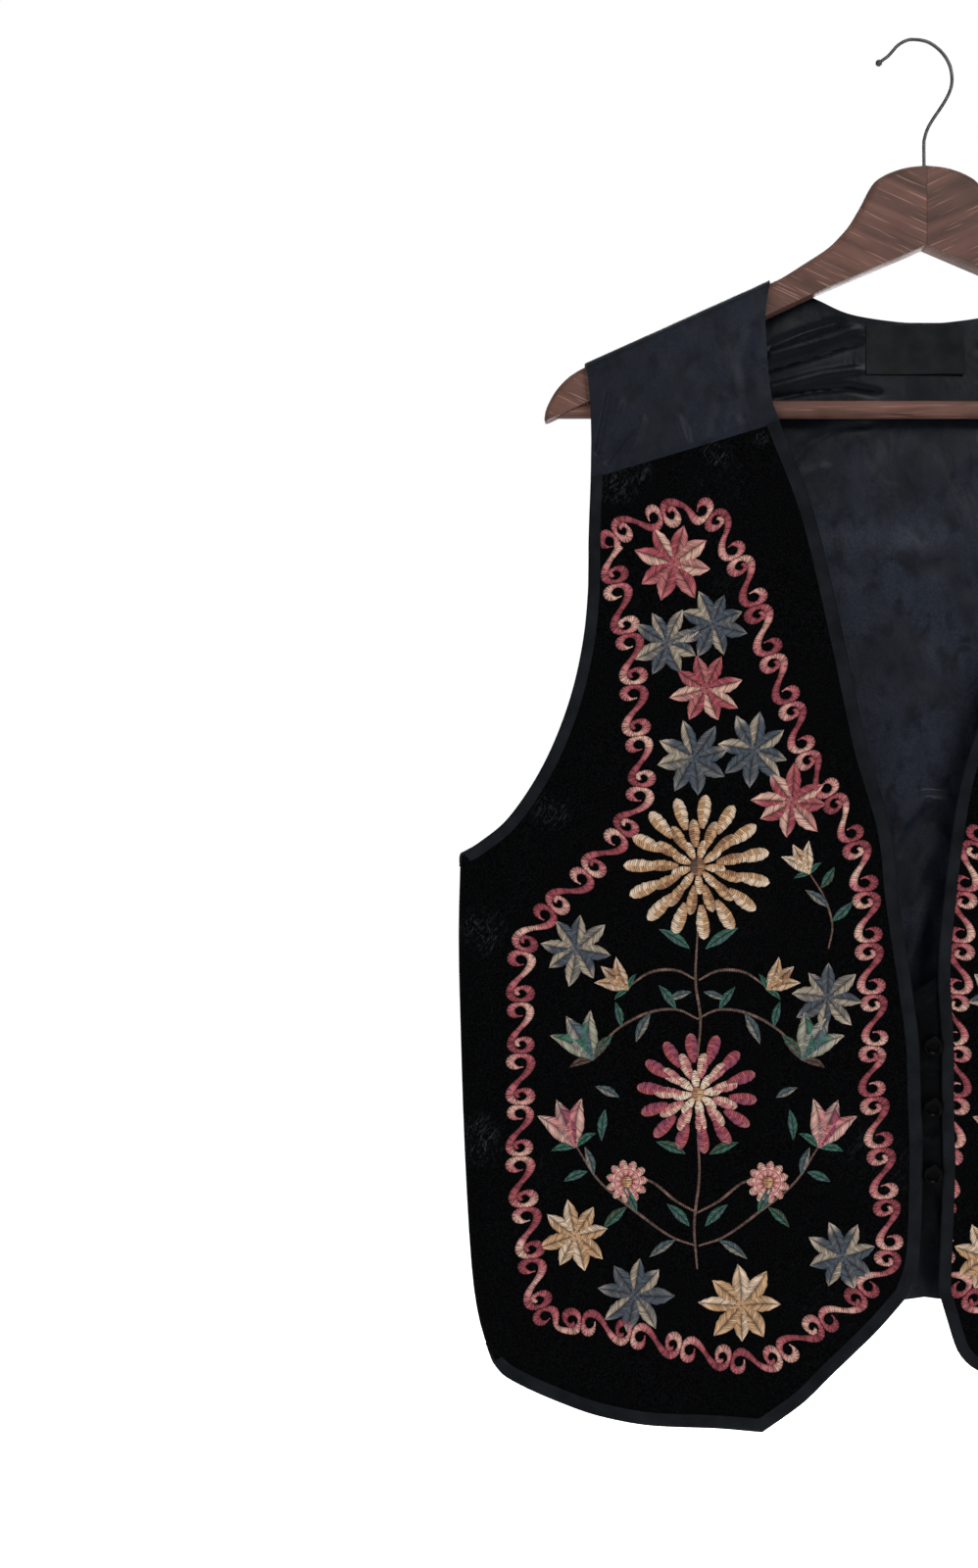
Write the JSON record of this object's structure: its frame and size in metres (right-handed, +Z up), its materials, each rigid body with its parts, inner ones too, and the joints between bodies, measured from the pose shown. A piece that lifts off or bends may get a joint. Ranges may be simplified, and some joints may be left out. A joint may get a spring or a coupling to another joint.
{
  "type": "embroidered velvet vest on a wooden hanger",
  "caption": "Sleeveless velvet vest with satin yokes and back, pointed front hem and bound edges, hanging open at the neck on a flat wooden hanger with a bar and a wire hook.",
  "frame": {"origin": "underside of the hook's crown, straight above the hanger's stem, where a rod or wall hook carries it", "axes": "+Z up, +X to the viewer's right, -Y out of the vest's front"},
  "size_m": [0.5462, 0.0321, 0.809],
  "materials": {
    "velvet": "crushed black velvet",
    "satin": "smooth black satin",
    "binding": "matt charcoal bias tape",
    "woven_label": "plain weave",
    "button": "glossy",
    "wood": "red-brown stain, worn lacquer",
    "hook_steel": "dark nickel",
    "embroidery": "satin-stitched cotton thread"
  },
  "bodies": {
    "root": {"front_left": "velvet", "front_right": "velvet", "yoke_left": "satin", "yoke_right": "satin", "back": "satin", "button_strip": "satin", "edge_binding_left": "binding", "edge_binding_right": "binding", "armhole_binding_left": "binding", "armhole_binding_right": "binding", "loop_1": "binding", "loop_2": "binding", "loop_3": "binding", "label": "woven_label", "button_1": "button", "button_2": "button", "button_3": "button", "hanger_half_left": "wood", "hanger_half_right": "wood", "hanger_bar": "wood", "hanger_hook": "hook_steel"}
  },
  "joints": []
}
